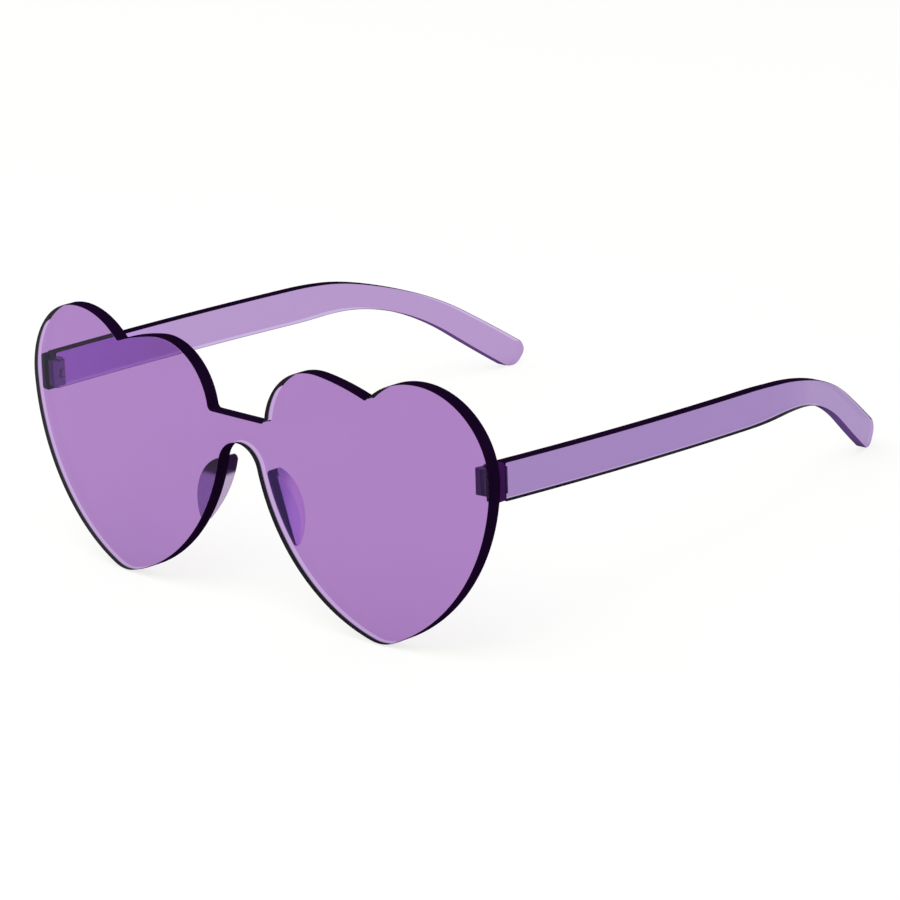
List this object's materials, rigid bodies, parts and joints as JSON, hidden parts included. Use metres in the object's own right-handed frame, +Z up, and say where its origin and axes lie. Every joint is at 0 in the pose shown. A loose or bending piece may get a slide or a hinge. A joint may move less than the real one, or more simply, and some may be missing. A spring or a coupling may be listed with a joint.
{
  "type": "heart shaped sunglasses",
  "caption": "Rimless heart shaped sunglasses cut from one bent sheet of translucent purple plastic, with stick-on nose pads and folding temples that hook down behind the ears.",
  "frame": {"origin": "middle of the bounding box in X and Y, on the table plane that the heart tips and the temple tips stand on", "axes": "+X to the wearer's left, +Y from the lenses towards the ears, +Z up; the part lies as put down open, its lenses leaning 5.5 degrees back"},
  "size_m": [0.1478, 0.1488, 0.0595],
  "materials": {
    "lens_tint": "polished translucent purple sheet with dark polished edges",
    "temple_tint": "polished translucent greyish purple strip",
    "pad_clear": "clear, slightly tinted moulding",
    "hinge_steel": "plain nickel coloured metal"
  },
  "bodies": {
    "front": {"lens_plate": "lens_tint", "nose_pad_left": "pad_clear", "nose_pad_right": "pad_clear", "end_piece_left": "temple_tint", "end_piece_right": "temple_tint", "hinge_leaf_left": "hinge_steel", "hinge_leaf_right": "hinge_steel", "hinge_screw_left": "hinge_steel", "hinge_screw_right": "hinge_steel"},
    "left_arm": {"temple_left": "temple_tint", "temple_knuckle_left": "hinge_steel"},
    "right_arm": {"temple_right": "temple_tint", "temple_knuckle_right": "hinge_steel"}
  },
  "joints": [
    {"name": "left_fold", "type": "hinge", "parent": "front", "child": "left_arm", "pos_m": [0.06748, -0.06222, 0.0396], "axis": [0, 0.0951, 0.9955], "range_deg": [0, 85]},
    {"name": "right_fold", "type": "hinge", "parent": "front", "child": "right_arm", "pos_m": [-0.06748, -0.06222, 0.0396], "axis": [0, -0.0951, -0.9955], "range_deg": [0, 73]}
  ]
}
